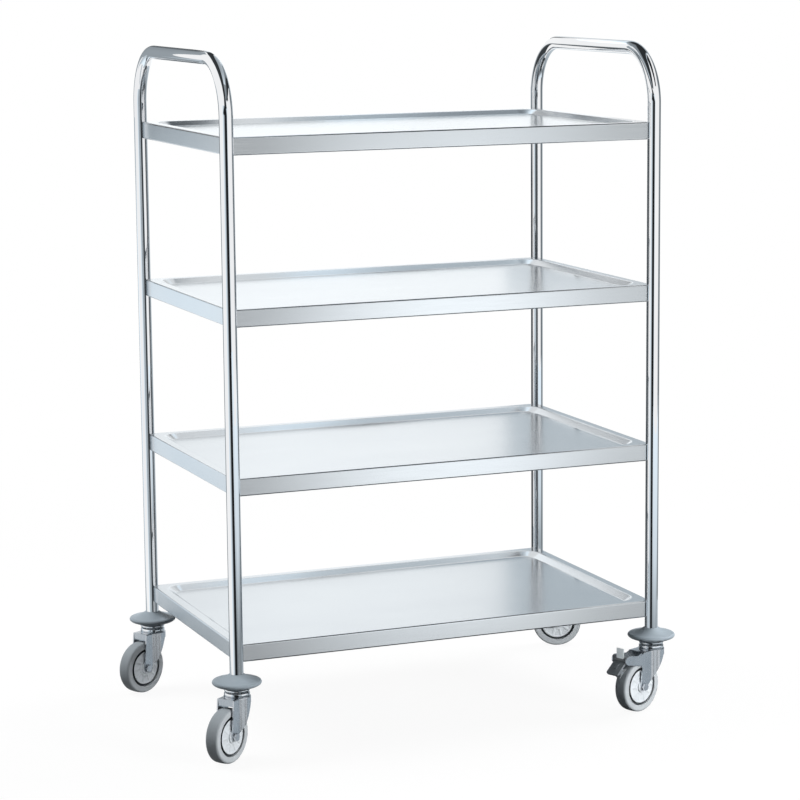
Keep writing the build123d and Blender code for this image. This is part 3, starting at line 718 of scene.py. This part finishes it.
def makeFloor():
    material, tree, shader = startFinish("paleFloor")
    pale = addNode(tree, "ShaderNodeBsdfPrincipled")
    for surface, albedo in ((shader, floorLook["bounce"]), (pale, floorLook["seen"])):
        surface.inputs["Base Color"].default_value = (albedo, albedo, albedo, 1.0)
        surface.inputs["Roughness"].default_value = floorLook["rough"]
        surface.inputs["Specular IOR Level"].default_value = 0.0
    glow = addNode(tree, "ShaderNodeEmission", {"Color": (1.0, 1.0, 1.0, 1.0), "Strength": 1.0})
    path = addNode(tree, "ShaderNodeLightPath")
    place = addNode(tree, "ShaderNodeTexCoord")
    away = addNode(tree, "ShaderNodeVectorMath", operation="LENGTH")
    limits = {"From Min": floorLook["fadeStart"], "From Max": floorLook["fadeEnd"],
              "To Min": floorLook["glowNear"], "To Max": floorLook["glowFar"]}
    fade = addNode(tree, "ShaderNodeMapRange", limits, interpolation_type="SMOOTHSTEP")
    seen = addNode(tree, "ShaderNodeMixShader")
    mix = addNode(tree, "ShaderNodeMixShader")
    tree.links.new(place.outputs["Object"], away.inputs[0])
    tree.links.new(away.outputs["Value"], fade.inputs["Value"])
    tree.links.new(fade.outputs["Result"], seen.inputs["Fac"])
    tree.links.new(pale.outputs["BSDF"], seen.inputs[1])
    tree.links.new(glow.outputs["Emission"], seen.inputs[2])
    tree.links.new(path.outputs["Is Camera Ray"], mix.inputs["Fac"])
    tree.links.new(shader.outputs["BSDF"], mix.inputs[1])
    tree.links.new(seen.outputs["Shader"], mix.inputs[2])
    tree.links.new(mix.outputs["Shader"], tree.nodes["Material Output"].inputs["Surface"])
    half = floorLook["size"] / 2
    floor = addSheet("floor", [((-half, y, 0), (half, y, 0)) for y in (-half, half)], material)
    floor.visible_glossy = False


def makeWorld():
    world = bpy.data.worlds.new("studio")
    world.use_nodes = True
    bpy.context.scene.world = world
    tree = world.node_tree
    dome = tree.nodes["Background"]
    dome.inputs["Color"].default_value = (*worldLook["dome"], 1.0)
    backdrop = addNode(tree, "ShaderNodeBackground", {"Color": (*worldLook["backdrop"], 1.0)})
    path = addNode(tree, "ShaderNodeLightPath")
    seen = addNode(tree, "ShaderNodeMath", operation="ADD")
    seenToo = addNode(tree, "ShaderNodeMath", operation="ADD", use_clamp=True)
    mix = addNode(tree, "ShaderNodeMixShader")
    tree.links.new(path.outputs["Is Camera Ray"], seen.inputs[0])
    tree.links.new(path.outputs["Is Glossy Ray"], seen.inputs[1])
    tree.links.new(seen.outputs["Value"], seenToo.inputs[0])
    tree.links.new(path.outputs["Is Transmission Ray"], seenToo.inputs[1])
    tree.links.new(seenToo.outputs["Value"], mix.inputs["Fac"])
    tree.links.new(dome.outputs["Background"], mix.inputs[1])
    tree.links.new(backdrop.outputs["Background"], mix.inputs[2])
    tree.links.new(mix.outputs["Shader"], tree.nodes["World Output"].inputs["Surface"])


def makeLamps():
    for name, look in lamps.items():
        data = bpy.data.lights.new(name, "AREA")
        data.shape = "RECTANGLE"
        data.size, data.size_y = look["size"]
        data.energy = look["power"]
        lamp = bpy.data.objects.new(name, data)
        bpy.context.scene.collection.objects.link(lamp)
        lamp.visible_glossy = False  # metal mirrors the cards instead
        lamp.location = look["place"]
        lamp.rotation_euler = (lampAim - lamp.location).to_track_quat("-Z", "Y").to_euler()


makeFloor()
makeWorld()
makeLamps()
makeCards()
print("studio:", len(lamps), "lamps,", len(flatCards) + len(wallCards) + 1, "cards")


# camera at the photograph's viewing angle

cameraLook = {"place": (-1.9236, -4.7601, 1.4411), "yaw": 0.3823, "pitch": 0.1610, "roll": -0.0098,
              "sensor": 36.0, "lens": 122.3, "shift": (0.0112, -0.0134)}  # angles in radians


def makeCamera(look):
    yaw, pitch, roll = look["yaw"], look["pitch"], look["roll"]
    ahead = Vector((math.sin(yaw) * math.cos(pitch), math.cos(yaw) * math.cos(pitch), -math.sin(pitch)))
    level = Vector((math.cos(yaw), -math.sin(yaw), 0))
    up = level.cross(ahead)
    right = math.cos(roll) * level + math.sin(roll) * up
    top = math.cos(roll) * up - math.sin(roll) * level
    data = bpy.data.cameras.new("camera")
    data.sensor_width = look["sensor"]
    data.lens = look["lens"]
    data.shift_x, data.shift_y = look["shift"]
    camera = bpy.data.objects.new("camera", data)
    bpy.context.scene.collection.objects.link(camera)
    turn = Matrix((right, top, -ahead)).transposed().to_4x4()
    camera.matrix_world = Matrix.Translation(look["place"]) @ turn
    bpy.context.scene.camera = camera


makeCamera(cameraLook)
bpy.context.scene.view_settings.view_transform = "Standard"
print("camera set")
